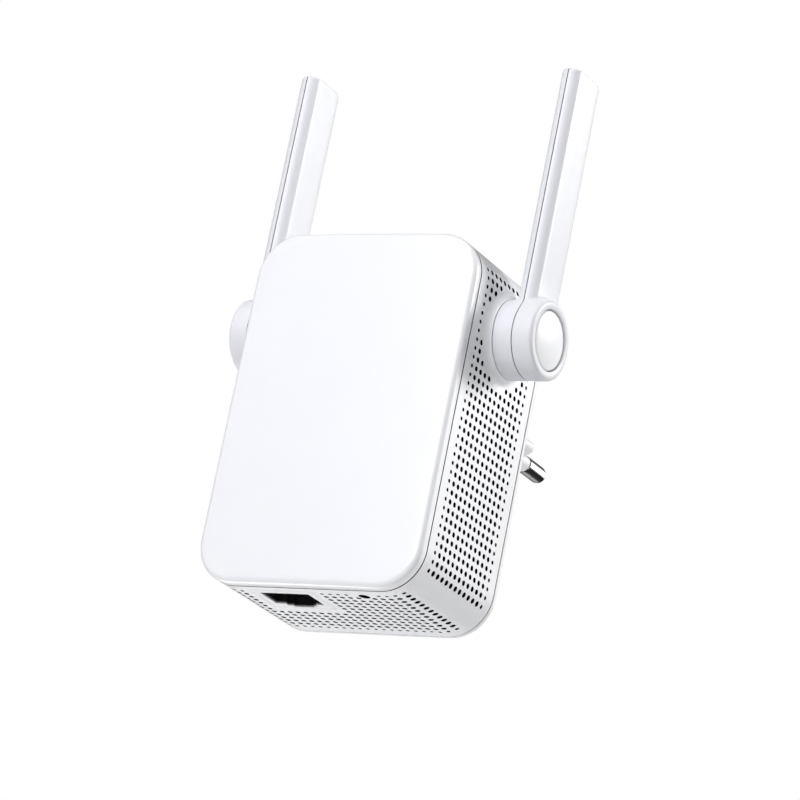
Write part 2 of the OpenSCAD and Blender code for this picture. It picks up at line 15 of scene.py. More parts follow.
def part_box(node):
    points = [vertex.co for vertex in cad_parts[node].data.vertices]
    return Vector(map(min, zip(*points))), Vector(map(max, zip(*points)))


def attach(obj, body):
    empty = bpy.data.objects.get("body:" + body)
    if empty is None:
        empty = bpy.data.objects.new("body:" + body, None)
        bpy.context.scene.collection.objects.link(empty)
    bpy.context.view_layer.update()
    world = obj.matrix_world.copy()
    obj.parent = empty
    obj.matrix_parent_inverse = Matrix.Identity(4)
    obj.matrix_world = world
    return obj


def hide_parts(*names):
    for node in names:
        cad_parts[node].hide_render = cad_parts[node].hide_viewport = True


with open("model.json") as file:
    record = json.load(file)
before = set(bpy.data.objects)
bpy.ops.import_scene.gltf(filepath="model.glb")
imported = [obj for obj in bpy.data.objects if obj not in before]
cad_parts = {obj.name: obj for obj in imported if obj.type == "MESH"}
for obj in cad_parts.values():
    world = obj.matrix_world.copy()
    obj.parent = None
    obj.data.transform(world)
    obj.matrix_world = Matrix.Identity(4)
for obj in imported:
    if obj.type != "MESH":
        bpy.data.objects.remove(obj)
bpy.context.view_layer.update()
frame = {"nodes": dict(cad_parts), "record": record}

MM = 0.001
SHARP_ANGLE = math.radians(38)   # faces that meet at more than this keep a crisp edge

# ---------------------------------------------------------------- places read from the frame

COVER_LO, COVER_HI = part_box("front_cover")
HOUSING_LO, HOUSING_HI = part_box("mid_housing")
REAR_LO, REAR_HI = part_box("rear_cover")
INNER_LO, INNER_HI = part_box("right_inner_shell")
OUTER_LO, OUTER_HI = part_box("right_outer_shell")
CAP_LO, CAP_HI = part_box("right_hub_cap")
PIN_LO, PIN_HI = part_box("plug_pin_right")
SLEEVE_LO, SLEEVE_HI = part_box("pin_sleeves")

BODY_W = COVER_HI.x - COVER_LO.x
BODY_H = COVER_HI.z - COVER_LO.z
BODY_MID_Z = (COVER_HI.z + COVER_LO.z) / 2
CORNER_R = 9.5 * MM
FRONT_SEAM = HOUSING_LO.y
REAR_SEAM = HOUSING_HI.y
SEAM_GAP = 0.26 * MM
SEAM_LIP = 0.18 * MM          # chamfer of each cover where it meets a seam
COVER_T = 1.6 * MM
CENTRE_INSET = 26.9 * MM      # inset of a ring that all but closes the middle of a face

HUB_Y = (INNER_LO.y + INNER_HI.y) / 2
HUB_R = (INNER_HI.y - INNER_LO.y) / 2
HUB_Z = INNER_LO.z + HUB_R
SEAM_X = (INNER_HI.x + OUTER_LO.x) / 2
BLADE_W = 12.4 * MM
BLADE_T = 4.5 * MM
BLADE_TOP = INNER_HI.z - HUB_Z

PIN_X = (PIN_LO.x + PIN_HI.x) / 2
PIN_TIP = PIN_HI.y
SLEEVE_END = SLEEVE_HI.y
SLEEVE_R = (SLEEVE_HI.z - SLEEVE_LO.z) / 2


# ---------------------------------------------------------------- mesh helpers

def arc(cx, cy, r, start, end, steps):
    """Points on an arc, angles in degrees."""
    angles = [math.radians(start + (end - start) * i / steps) for i in range(steps + 1)]
    return [(cx + r * math.cos(a), cy + r * math.sin(a)) for a in angles]


def quarter_turn(steps):
    """(1 - cos, 1 - sin) of angles from 0 to 90 degrees, for rounding an edge."""
    angles = [math.radians(90 * i / steps) for i in range(steps + 1)]
    return [(1 - math.cos(a), 1 - math.sin(a)) for a in angles]


def circle(segments):
    """(cos, sin) of evenly spaced angles."""
    angles = [2 * math.pi * i / segments for i in range(segments)]
    return [(math.cos(a), math.sin(a)) for a in angles]


def finish_mesh(name, bm, body, material, node):
    """Turns a bmesh into a smooth-shaded piece that rides on a body and stands for a CAD node."""
    bmesh.ops.remove_doubles(bm, verts=bm.verts, dist=1e-7)
    bmesh.ops.recalc_face_normals(bm, faces=bm.faces)
    for face in bm.faces:
        face.smooth = True
    mesh = bpy.data.meshes.new(name)
    bm.to_mesh(mesh)
    bm.free()
    mesh.set_sharp_from_angle(angle=SHARP_ANGLE)
    mesh.materials.append(material)
    piece = bpy.data.objects.new(name, mesh)
    bpy.context.scene.collection.objects.link(piece)
    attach(piece, body)
    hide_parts(node)


def skin(bm, rings):
    """Joins closed rings of equal length with quads and returns their rows of vertices."""
    rows = [[bm.verts.new(p) for p in ring] for ring in rings]
    for low, high in zip(rows, rows[1:]):
        for i in range(len(low)):
            j = (i + 1) % len(low)
            bm.faces.new((low[i], low[j], high[j], high[i]))
    return rows


def loft(bm, rings):
    """Skins closed rings of equal length and closes both ends with a face."""
    rows = skin(bm, rings)
    bm.faces.new(rows[0])
    bm.faces.new(list(reversed(rows[-1])))


def revolve(bm, profile, place, segments=96):
    """Turns (along, radius) pairs about an axis. place(along, u, v) gives the point in space."""
    rings = []
    for along, radius in profile:
        radius = max(radius, 1e-6)
        rings.append([place(along, radius * c, radius * s) for c, s in circle(segments)])
    loft(bm, rings)


def rounded_outline(w, h, r, corner_steps=14, side_steps=10):
    """Rounded rectangle about the origin, anticlockwise, with points along its straight sides."""
    r = max(r, 0.02 * MM)
    points = []
    x, y = w / 2 - r, h / 2 - r
    centres = [(x, y), (-x, y), (-x, -y), (x, -y)]
    for i, (cx, cy) in enumerate(centres):
        corner = arc(cx, cy, r, 90 * i, 90 * i + 90, corner_steps)
        points += corner
        start_x, start_y = corner[-1]
        next_x, next_y = centres[(i + 1) % 4]
        turn = math.radians(90 * i + 90)
        end_x, end_y = next_x + r * math.cos(turn), next_y + r * math.sin(turn)
        for step in range(1, side_steps):
            t = step / side_steps
            points.append((start_x * (1 - t) + end_x * t, start_y * (1 - t) + end_y * t))
    return points


def body_ring(inset, y):
    """Ring in the outline of the body. y is a number, or a function of X that gives each point's Y."""
    outline = rounded_outline(BODY_W - 2 * inset, BODY_H - 2 * inset, CORNER_R - inset)
    return [(x, y(x) if callable(y) else y, z + BODY_MID_Z) for x, z in outline]


# ---------------------------------------------------------------- material helpers

class Nodes:
    """Shorthand for building a shader node tree."""

    def __init__(self, name):
        self.material = bpy.data.materials.new(name)
        self.material.use_nodes = True
        self.tree = self.material.node_tree
        self.shader = self.tree.nodes["Principled BSDF"]
        self.position = self.add("ShaderNodeTexCoord").outputs["Object"]

    def add(self, kind, **values):
        node = self.tree.nodes.new(kind)
        for key, value in values.items():
            setattr(node, key, value)
        return node

    def link(self, source, target):
        self.tree.links.new(source, target)

    def put(self, socket, value):
        """Links an output to a socket, or sets the socket to a plain value."""
        if hasattr(value, "links"):
            self.link(value, socket)
        else:
            socket.default_value = value

    def math(self, operation, a, b=0.0, c=0.0, clamp=False):
        node = self.add("ShaderNodeMath", operation=operation, use_clamp=clamp)
        for socket, value in zip(node.inputs, (a, b, c)):
            self.put(socket, value)
        return node.outputs[0]

    def noise(self, scale, detail=3.0, rough=0.55, vector=None):
        node = self.add("ShaderNodeTexNoise")
        self.link(vector or self.position, node.inputs["Vector"])
        node.inputs["Scale"].default_value = scale
        node.inputs["Detail"].default_value = detail
        node.inputs["Roughness"].default_value = rough
        return node.outputs["Fac"]

    def remap(self, value, low, high, to_low, to_high):
        node = self.add("ShaderNodeMapRange")
        self.link(value, node.inputs["Value"])
        numbers = zip(("From Min", "From Max", "To Min", "To Max"), (low, high, to_low, to_high))
        for key, number in numbers:
            node.inputs[key].default_value = number
        return node.outputs["Result"]

    def mix(self, factor, a, b):
        node = self.add("ShaderNodeMix", data_type="RGBA")
        self.put(node.inputs["Factor"], factor)
        self.put(node.inputs["A"], a)
        self.put(node.inputs["B"], b)
        return node.outputs["Result"]

    def bump(self, height, strength, distance):
        node = self.add("ShaderNodeBump")
        self.link(height, node.inputs["Height"])
        node.inputs["Strength"].default_value = strength
        node.inputs["Distance"].default_value = distance
        return node.outputs["Normal"]

    def set(self, **values):
        """Sets or links inputs of the surface shader and returns the material."""
        names = {"color": "Base Color", "rough": "Roughness", "metal": "Metallic", "normal": "Normal",
                 "coat": "Coat Weight", "coat_rough": "Coat Roughness", "specular": "Specular IOR Level",
                 "transmission": "Transmission Weight", "ior": "IOR",
                 "emission": "Emission Color", "emission_strength": "Emission Strength"}
        for key, value in values.items():
            self.put(self.shader.inputs[names[key]], value)
        return self.material


def rgb(r, g, b):
    return (r, g, b, 1.0)


WHITE = (0.86, 0.865, 0.885)
# antenna white: a darker, bluer copy of the body white, painted shade so the antennas read dimmer than the
# housing
SHADED_COOL_WHITE = (0.76, 0.77, 0.80)
# colour of the painted shade in holes, seams and the jack's port
PAINTED_SHADE_BLACK = (0.006, 0.006, 0.007)
COAT = 0.15


def shaded(n, color, exposed):
    """Painted shade: colour that goes nearly black where exposed falls to 0, as deep in a hole or a seam."""
    return n.mix(exposed, rgb(*PAINTED_SHADE_BLACK), color)


def satin_plastic(name, tint, rough=0.34, grain=0.02, exposure=None, gloss=1.0):
    """Moulded plastic: faint mottling of tint and gloss, and a fine spark-eroded grain.

    exposure(n) may give a 0 to 1 factor of painted shade: where it falls towards 0 the colour is
    painted towards near black and the shine is taken off, as in holes and seams. gloss scales
    what the surface mirrors.
    """
    n = Nodes(name)
    mottle = n.noise(90.0, 4.0)
    darker = rgb(*(c * 0.992 for c in tint))
    color = n.mix(n.remap(mottle, 0.35, 0.65, 0.0, 1.0), rgb(*tint), darker)
    roughness = n.remap(n.noise(700.0, 2.0), 0.3, 0.7, rough - 0.04, rough + 0.05)
    normal = n.bump(n.noise(5200.0, 2.0), grain, 0.00002)
    specular, coat = 0.5 * gloss, COAT * gloss
    # painted shade: the mask darkens the colour and takes off the shine
    if exposure:
        exposed = exposure(n)
        color = shaded(n, color, exposed)
        specular = n.math("MULTIPLY", exposed, specular)
        coat = n.math("MULTIPLY", exposed, coat)
    return n.set(color=color, rough=roughness, normal=normal, specular=specular, coat=coat,
                 coat_rough=0.2)


def axis_value(n, axis):
    """X, Y or Z of the shaded point, in metres."""
    split = n.add("ShaderNodeSeparateXYZ")
    n.link(n.position, split.inputs[0])
    return split.outputs[axis]


def vent_painted_shade(n):
    """Painted shade: dark from just under the outline of the body, so in the vent holes and on the seam
    faces.
    """
    x = n.math("SUBTRACT", n.math("ABSOLUTE", axis_value(n, "X")), BODY_W / 2 - CORNER_R)
    raised = n.math("SUBTRACT", axis_value(n, "Z"), BODY_MID_Z)
    z = n.math("SUBTRACT", n.math("ABSOLUTE", raised), BODY_H / 2 - CORNER_R)
    x_out = n.math("MAXIMUM", x, 0.0)
    z_out = n.math("MAXIMUM", z, 0.0)
    squares = n.math("ADD", n.math("MULTIPLY", x_out, x_out), n.math("MULTIPLY", z_out, z_out))
    inside = n.math("MINIMUM", n.math("MAXIMUM", x, z), 0.0)
    outside_by = n.math("SUBTRACT", n.math("ADD", n.math("SQRT", squares), inside), CORNER_R)
    return n.remap(outside_by, -0.06 * MM, -0.022 * MM, 0.0, 1.0)


def front_seam_painted_shade(n):
    """Painted shade on the face of the front cover that looks into the front seam."""
    edge = FRONT_SEAM - SEAM_GAP
    return n.remap(axis_value(n, "Y"), edge - 0.10 * MM, edge - 0.01 * MM, 1.0, 0.0)


def rear_seam_painted_shade(n):
    """Painted shade on the face of the rear cover that looks into the rear seam."""
    edge = REAR_SEAM + SEAM_GAP
    return n.remap(axis_value(n, "Y"), edge + 0.01 * MM, edge + 0.10 * MM, 0.0, 1.0)


def split_painted_shade(n):
    """Painted shade that greys the parting line of the two antenna shells."""
    from_split = n.math("SUBTRACT", n.math("ABSOLUTE", axis_value(n, "X")), SEAM_X)
    return n.remap(n.math("ABSOLUTE", from_split), 0.05 * MM, 0.15 * MM, 0.3, 1.0)


def port_painted_shade(n):
    """Painted shade: dark up inside the port of the jack."""
    height = n.math("SUBTRACT", axis_value(n, "Z"), HOUSING_LO.z)
    return n.remap(height, 0.05 * MM, 0.5 * MM, 1.0, 0.0)


def plated_metal(name, tint, rough, streak=0.04):
    """Plated metal with faint drawn streaks along Y and small gloss changes."""
    n = Nodes(name)
    stretch = n.add("ShaderNodeMapping")
    n.link(n.position, stretch.inputs["Vector"])
    stretch.inputs["Scale"].default_value = (1.0, 0.06, 1.0)
    lines = n.noise(2600.0, 3.0, vector=stretch.outputs["Vector"])
    color = n.mix(n.remap(lines, 0.3, 0.7, 0.0, 1.0), rgb(*tint), rgb(*(c * 0.9 for c in tint)))
    roughness = n.remap(lines, 0.3, 0.7, rough, rough + streak)
    return n.set(color=color, rough=roughness, metal=1.0, normal=n.bump(lines, 0.05, 0.00002))


def polished_pin(name, tint):
    """Bright plated pin with two dark bands painted into its colour, a painted reflection of unlit sides of
    the room.

    A band lies where the surface normal leans by a given share of Z, which is the same all
    along the pin.
    """
    # Z of the surface normal at the middle of each painted reflection band, and how much thinner the second
    # band is
    wide_painted_band, thin_painted_band, thinner_by = -0.68, 0.38, 0.13
    n = Nodes(name)
    split = n.add("ShaderNodeSeparateXYZ")
    n.link(n.add("ShaderNodeTexCoord").outputs["Normal"], split.inputs[0])
    from_wide = n.math("ABSOLUTE", n.math("SUBTRACT", split.outputs["Z"], wide_painted_band))
    from_thin = n.math("ABSOLUTE", n.math("SUBTRACT", split.outputs["Z"], thin_painted_band))
    # noise for wear in the roughness and bumps, and for a wobble at the edges of the painted reflection
    # bands
    wear_and_reflection_wobble = n.noise(1500.0, 3.0)
    edge = n.math("MINIMUM", from_wide, n.math("ADD", from_thin, thinner_by))
    edge = n.math("ADD", edge, n.remap(wear_and_reflection_wobble, 0.3, 0.7, -0.02, 0.02))
    # painted reflection: nearly black on the two bands, the plated tint elsewhere
    color = n.mix(n.remap(edge, 0.20, 0.30, 0.0, 1.0), rgb(0.015, 0.015, 0.016), rgb(*tint))
    return n.set(color=color, rough=n.remap(wear_and_reflection_wobble, 0.3, 0.7, 0.05, 0.09), metal=1.0,
                 normal=n.bump(wear_and_reflection_wobble, 0.03, 0.00001))


def circuit_board(name):
    """Green solder mask with darker copper tracks showing through and small pads."""
    n = Nodes(name)
    bricks = n.add("ShaderNodeTexBrick")
    n.link(n.position, bricks.inputs["Vector"])
    bricks.inputs["Scale"].default_value = 260.0
    bricks.inputs["Mortar Size"].default_value = 0.035
    bricks.inputs["Color1"].default_value = rgb(0.012, 0.10, 0.045)
    bricks.inputs["Color2"].default_value = rgb(0.016, 0.13, 0.058)
    bricks.inputs["Mortar"].default_value = rgb(0.03, 0.20, 0.09)
    weave = n.bump(n.noise(900.0), 0.1, 0.00003)
    return n.set(color=bricks.outputs["Color"], rough=0.38, normal=weave)


def grainy(name, tint, rough, scale=1500.0, depth=0.2, variation=0.8, exposure=None, glow=0.0):
    """Plain moulded, pressed or cast stuff with a visible grain.

    glow is light of its own that only the camera sees.
    """
    n = Nodes(name)
    grain = n.noise(scale, 4.0)
    other = rgb(*(c * variation for c in tint))
    color = n.mix(n.remap(grain, 0.3, 0.7, 0.0, 1.0), rgb(*tint), other)
    # optional painted shade from the mask, as up inside the jack's port
    if exposure:
        color = shaded(n, color, exposure(n))
    if glow:
        seen = n.add("ShaderNodeLightPath").outputs["Is Camera Ray"]
        n.set(emission=rgb(1.0, 1.0, 1.0), emission_strength=n.math("MULTIPLY", seen, glow))
    roughness = n.remap(grain, 0.3, 0.7, rough - 0.05, rough + 0.08)
    return n.set(color=color, rough=roughness, normal=n.bump(grain, depth, 0.00004))


def wound_tape(name, tint):
    """Tape wrapped round a winding: fine bands along Z."""
    n = Nodes(name)
    wave = n.add("ShaderNodeTexWave", wave_type="BANDS", bands_direction="Z")
    n.link(n.position, wave.inputs["Vector"])
    wave.inputs["Scale"].default_value = 700.0
    wave.inputs["Distortion"].default_value = 1.5
    color = n.mix(wave.outputs["Fac"], rgb(*tint), rgb(*(c * 0.75 for c in tint)))
    return n.set(color=color, rough=0.28, normal=n.bump(wave.outputs["Fac"], 0.3, 0.00004))


def clear_acrylic(name):
    """Clear moulding with a slight ripple."""
    n = Nodes(name)
    ripple = n.noise(400.0, 2.0)
    return n.set(color=rgb(0.92, 0.96, 1.0), rough=n.remap(ripple, 0.3, 0.7, 0.04, 0.10), ior=1.49,
                 transmission=0.85, normal=n.bump(ripple, 0.05, 0.00003))


SHELL = satin_plastic("shell_satin_white", WHITE)
# the vented housing, the two covers and the antennas get painted shade in their vent holes, seams and
# parting line
VENTED = satin_plastic("housing_vented_white", WHITE, exposure=vent_painted_shade)
FRONT_SHELL = satin_plastic("front_cover_white", WHITE, exposure=front_seam_painted_shade)
REAR_SHELL = satin_plastic("rear_cover_white", WHITE, exposure=rear_seam_painted_shade)
ANTENNA_SHELL = satin_plastic("antenna_white", SHADED_COOL_WHITE, exposure=split_painted_shade, gloss=0.35)
CAP_SHELL = satin_plastic("hub_cap_white", WHITE, gloss=0.6)
MATERIALS = {
    "shell_white": SHELL,
    # the jack gets painted shade up inside its port
    "jack_white": grainy("jack_moulded_white", (0.80, 0.80, 0.81), 0.45, 1200.0, 0.06, 0.95,
                         exposure=port_painted_shade),
    "button_grey": satin_plastic("button_satin_grey", (0.70, 0.71, 0.73), 0.42, 0.05),
    "pin_metal": polished_pin("pin_nickel_plate", (0.86, 0.86, 0.87)),
    "contact_metal": plated_metal("contact_gold_plate", (0.83, 0.62, 0.26), 0.22),
    "board_green": circuit_board("board_solder_mask"),
    "chip_black": grainy("chip_moulded_epoxy", (0.020, 0.020, 0.022), 0.5, 2500.0, 0.3),
    "capacitor_sleeve": satin_plastic("capacitor_shrink_sleeve", (0.03, 0.04, 0.13), 0.25, 0.1),
    "ferrite": grainy("ferrite_sintered", (0.035, 0.035, 0.038), 0.6, 1800.0, 0.6),
    "bobbin_plastic": grainy("bobbin_moulding", (0.62, 0.55, 0.38), 0.45, 900.0, 0.1, 0.9),
    "winding_tape": wound_tape("winding_yellow_tape", (0.75, 0.52, 0.06)),
    "ceramic_blue": grainy("capacitor_dipped_resin", (0.03, 0.12, 0.42), 0.3, 500.0, 0.4, 0.85),
    "fuse_ceramic": grainy("fuse_coating", (0.50, 0.40, 0.24), 0.5, 1100.0, 0.3),
    "insulation": grainy("insulation_fibre", (0.62, 0.60, 0.50), 0.8, 800.0, 0.5, 0.9),
    "steel": plated_metal("zinc_plated_steel", (0.56, 0.57, 0.59), 0.30, 0.15),
    "thermal_pad": grainy("thermal_pad_silicone", (0.26, 0.31, 0.42), 0.75, 1500.0, 0.4),
    "aluminium": plated_metal("rolled_aluminium", (0.80, 0.81, 0.82), 0.28, 0.15),
    "led_lens": satin_plastic("led_clear_lens", (0.80, 0.78, 0.55), 0.2, 0.05),
    "light_guide": clear_acrylic("light_guide_acrylic"),
    "cable_jacket": grainy("coax_jacket", (0.03, 0.03, 0.032), 0.45, 2200.0, 0.2),
}


# ---------------------------------------------------------------- front cover

CROWN_R = 420 * MM
FRONT_EDGE = 1.2 * MM


def crown(sink=0.0):
    """Y of the front face as a function of X, moved back by sink. The face is crowned sideways."""
    return lambda x: COVER_LO.y + CROWN_R - math.sqrt(CROWN_R ** 2 - x * x) + sink


def front_cover():
    """Hollow crowned shell: up its inside, round the seam face and over the rounded front edge."""
    seam = FRONT_SEAM - SEAM_GAP
    rings = [body_ring(CENTRE_INSET, crown(COVER_T))]
    for inset in (22, 16, 11, 7, 4, 2.6):
        rings.append(body_ring(inset * MM, crown(COVER_T)))
    rings.append(body_ring(COVER_T, crown(COVER_T + 0.8 * MM)))
    rings.append(body_ring(COVER_T, seam))
    rings.append(body_ring(SEAM_LIP, seam))
    rings.append(body_ring(SEAM_LIP * 0.3, seam - SEAM_LIP * 0.3))
    rings.append(body_ring(0.0, seam - SEAM_LIP))
    for across, back in quarter_turn(8):
        rings.append(body_ring(FRONT_EDGE * across, crown(FRONT_EDGE * back)))
    for inset in (1.8, 2.6, 4, 5.5, 7, 9, 11, 13.5, 16, 19, 22, 25):
        rings.append(body_ring(inset * MM, crown()))
    rings.append(body_ring(CENTRE_INSET, crown()))
    bm = bmesh.new()
    loft(bm, rings)
    finish_mesh("front_cover_shell", bm, "housing", FRONT_SHELL, "front_cover")


# ---------------------------------------------------------------- rear cover and plug block

REAR_EDGE = 1.8 * MM
PLUG_BASE = REAR_SEAM + SEAM_GAP / 2 + 2.5 * MM
PLUG_HALF_W = 17.7 * MM
PLUG_HALF_H = 6.85 * MM
PLUG_END_R = 1.5 * MM
PLUG_SHOULDER_R = 1.6 * MM
PLUG_SLOPE = 31               # degrees between the sloping sides and the flat top
PLUG_FILLET = 1.2 * MM        # where the block meets the cover
PLUG_EDGE = 0.8 * MM


def plug_outline(offset):
    """Long hexagon of the plug block with its six corners rounded, anticlockwise in X and Z."""
    half_w, half_h = PLUG_HALF_W + offset, PLUG_HALF_H + offset
    end_r, shoulder_r = PLUG_END_R + offset, PLUG_SHOULDER_R + offset
    slope = math.radians(PLUG_SLOPE)
    turn = 90 - PLUG_SLOPE
    end_x = half_w - end_r
    tip_x = end_x + end_r / math.sin(slope)
    flat_x = tip_x - half_h / math.tan(slope)
    centre_x = flat_x - shoulder_r * math.tan(slope / 2)
    centre_z = half_h - shoulder_r
    quarter = arc(end_x, 0, end_r, 0, turn, 8)
    quarter += arc(centre_x, centre_z, shoulder_r, turn, 90, 5)
    quarter += [(centre_x * (1 - i / 3), half_h) for i in (1, 2)]
    top = quarter + [(0.0, half_h)] + [(-x, z) for x, z in reversed(quarter)]
    bottom = [(x, -z) for x, z in reversed(top[1:-1])]
    return top + bottom


def plug_ring(offset, y):
    return [(x, y, z) for x, z in plug_outline(offset)]


def back_shell(bm):
    """Hollow back of the body with a rounded rear edge."""
    seam = REAR_SEAM + SEAM_GAP
    inside = PLUG_BASE - 1.5 * MM
    rings = [body_ring(CENTRE_INSET, inside), body_ring(COVER_T, inside)]
    rings += [body_ring(COVER_T, seam), body_ring(SEAM_LIP, seam), body_ring(0.0, seam + SEAM_LIP)]
    for across, forward in quarter_turn(8):
        rings.append(body_ring(REAR_EDGE * across, PLUG_BASE - REAR_EDGE * forward))
    for inset in (4, 9, 16):
        rings.append(body_ring(inset * MM, PLUG_BASE))
    rings.append(body_ring(CENTRE_INSET, PLUG_BASE))
    loft(bm, rings)


def plug_block(bm):
    """Plug block with a fillet at its foot and a rounded edge round its face, which lies at Y = 0."""
    rings = [plug_ring(PLUG_FILLET, PLUG_BASE - 0.6 * MM)]
    for up, inward in quarter_turn(6):
        rings.append(plug_ring(PLUG_FILLET * inward, PLUG_BASE + PLUG_FILLET * up))
    for across, back in quarter_turn(6):
        rings.append(plug_ring(-PLUG_EDGE * across, -PLUG_EDGE * back))
    loft(bm, rings)


def rear_cover():
    bm = bmesh.new()
    back_shell(bm)
    plug_block(bm)
    finish_mesh("rear_cover_shell", bm, "housing", REAR_SHELL, "rear_cover")


# ---------------------------------------------------------------- plug pins

PIN_R = 2.0 * MM
PIN_CORE_R = 1.4 * MM         # inside the sleeve
PIN_CHAMFER = 0.15 * MM
ROUND_STEPS = 64


def pin_profile():
    """(along, radius) pairs: a thin core inside the sleeve, then the bare tip with its round end."""
    bare = SLEEVE_END + 0.02 * MM
    profile = [(PIN_LO.y, 0), (PIN_LO.y, PIN_CORE_R), (bare, PIN_CORE_R)]
    profile += [(bare, PIN_R - PIN_CHAMFER), (bare + PIN_CHAMFER, PIN_R)]
    return profile + arc(PIN_TIP - PIN_R, 0, PIN_R, 90, 0, 12)


def plug_pin(name, side, node):
    bm = bmesh.new()
    revolve(bm, pin_profile(), lambda a, u, v: (side * PIN_X + u, a, v), ROUND_STEPS)
    finish_mesh(name, bm, "housing", MATERIALS["pin_metal"], node)


def pin_sleeves():
    """Insulating sleeves, each with a small collar where it leaves the plug face."""
    bm = bmesh.new()
    r, collar, bore, edge = SLEEVE_R, 0.25 * MM, PIN_CORE_R + 0.02 * MM, 0.1 * MM
    start = SLEEVE_LO.y
    profile = [(start, bore), (start, r + collar), (0.5 * MM, r + collar)]
    profile += [(0.75 * MM, r + collar * 0.6), (1.0 * MM, r)]
    profile += [(SLEEVE_END - edge, r), (SLEEVE_END, r - edge), (SLEEVE_END, bore), (start, bore)]
    for side in (-1, 1):
        skin(bm, [[(side * PIN_X + radius * c, along, radius * s) for c, s in circle(ROUND_STEPS)]
                  for along, radius in profile])
    finish_mesh("pin_insulation", bm, "housing", SHELL, "pin_sleeves")


# ---------------------------------------------------------------- antennas

SPLIT_GAP = 0.05 * MM
SPLIT_CHAMFER = 0.12 * MM
BLADE_FILLET = 1.2 * MM
BLADE_TOP_R = 0.8 * MM
BLADE_EDGE = 0.3 * MM
HUB_RIM = 0.9 * MM
CAP_RECESS_R = 6.72 * MM
CAP_RECESS_D = 1.4 * MM
CAP_EDGE = 0.35 * MM
CAP_DOME = 0.55 * MM


def half_stadium(half_w, half_t):
    """Outline of one blade half in (u, v): u away from the split plane, v along the width."""
    reach = half_w - BLADE_T / 2
    bulge = half_w - reach
    start = math.degrees(math.asin(min(1.0, (SPLIT_GAP + SPLIT_CHAMFER) / half_t)))
    front = [(half_t * math.sin(math.radians(t)), -reach - bulge * math.cos(math.radians(t)))
             for t in [start + (90 - start) * i / 12 for i in range(13)]]
    flat = [(half_t, -reach + 2 * reach * i / 8) for i in range(1, 8)]
    rear = [(u, -v) for u, v in reversed(front)]
    edge_v = half_w - SPLIT_CHAMFER * 1.2
    closing = [(SPLIT_GAP, edge_v), (SPLIT_GAP, edge_v / 3), (SPLIT_GAP, -edge_v / 3), (SPLIT_GAP, -edge_v)]
    return front + flat + rear + closing


def hub_height(v):
    """Height of the hub's round side above its axis, at v across the blade."""
    return math.sqrt(max(HUB_R ** 2 - v * v, 0.0))


def lost(radius, into):
    """How far a rounded edge has drawn in, at a height into its radius."""
    return radius - math.sqrt(max(radius ** 2 - max(0.0, into) ** 2, 0.0))


def blade_rings():
    """Rings of one blade half, from inside the hub up to the tip, as (u, v, w)."""
    half_w, half_t = BLADE_W / 2, BLADE_T / 2
    rings = []
    skirt = half_stadium(half_w + BLADE_FILLET, half_t + BLADE_FILLET)
    rings.append([(u, v, hub_height(v) - 1.0 * MM) for u, v in skirt])
    for grow, rise in reversed(quarter_turn(8)):
        outline = half_stadium(half_w + BLADE_FILLET * grow, half_t + BLADE_FILLET * grow)
        rings.append([(u, v, hub_height(v) + BLADE_FILLET * rise) for u, v in outline])
    shoulder = BLADE_TOP - BLADE_TOP_R
    heights = [h * MM for h in (14, 26, 38, 50)] + [shoulder]
    heights += [shoulder + BLADE_TOP_R * math.sin(math.radians(a)) for a in (12, 24, 36, 48, 60, 70, 80, 90)]
    for w in heights:
        narrow = lost(BLADE_TOP_R, w - shoulder)
        thin = lost(BLADE_EDGE, w - (BLADE_TOP - BLADE_EDGE))
        rings.append([(u, v, w) for u, v in half_stadium(half_w - narrow, half_t - thin)])
    return rings


def hub_profile(outer):
    """(u, radius) pairs of one hub half, from the split plane outwards."""
    c = SPLIT_CHAMFER
    profile = [(SPLIT_GAP, 0), (SPLIT_GAP, HUB_R - c), (SPLIT_GAP + c, HUB_R)]
    if not outer:
        length = SEAM_X - INNER_LO.x
        return profile + [(length - c, HUB_R), (length, HUB_R - c), (length, 0)]
    length = OUTER_HI.x - SEAM_X
    recess = length - CAP_RECESS_D
    profile += arc(length - HUB_RIM, HUB_R - HUB_RIM, HUB_RIM, 90, 0, 8)
    profile += [(length, CAP_RECESS_R + 0.2 * MM), (length - 0.06 * MM, CAP_RECESS_R + 0.06 * MM)]
    profile += [(length - 0.2 * MM, CAP_RECESS_R), (recess, CAP_RECESS_R), (recess, 0)]
    return profile


def antenna_half(side, outer):
    """One shell of an antenna. side is +1 on the right; outer is the half with the hub cap."""
    away = 1 if outer else -1
    seam_x = side * SEAM_X

    def place(u, v, w):
        return (seam_x + side * away * u, HUB_Y + v, HUB_Z + w)

    bm = bmesh.new()
    revolve(bm, hub_profile(outer), place, 128)
    loft(bm, [[place(*p) for p in ring] for ring in blade_rings()])
    hand = "right" if side > 0 else "left"
    part = "outer_shell" if outer else "inner_shell"
    name = hand + "_antenna_" + part.split("_")[0]
    finish_mesh(name, bm, "antenna_" + hand, ANTENNA_SHELL, hand + "_" + part)


def hub_cap(side):
    """Domed disc sunk into the hub's end, with a soft edge."""
    start = CAP_LO.x - SEAM_X
    shoulder = CAP_HI.x - SEAM_X - CAP_DOME
    r = (CAP_HI.z - CAP_LO.z) / 2
    profile = [(start, 0), (start, r)]
    profile += arc(shoulder - CAP_EDGE, r - CAP_EDGE, CAP_EDGE, 90, 20, 5)
    for i in range(1, 13):
        t = 1 - i / 12
        profile.append((shoulder + CAP_DOME * (1 - t * t), (r - CAP_EDGE * 0.6) * t))
    hand = "right" if side > 0 else "left"
    bm = bmesh.new()
    revolve(bm, profile, lambda a, u, v: (side * (SEAM_X + a), HUB_Y + u, HUB_Z + v), 96)
    body, node = "antenna_" + hand, hand + "_hub_cap"
    finish_mesh(hand + "_hub_disc", bm, body, CAP_SHELL, node)


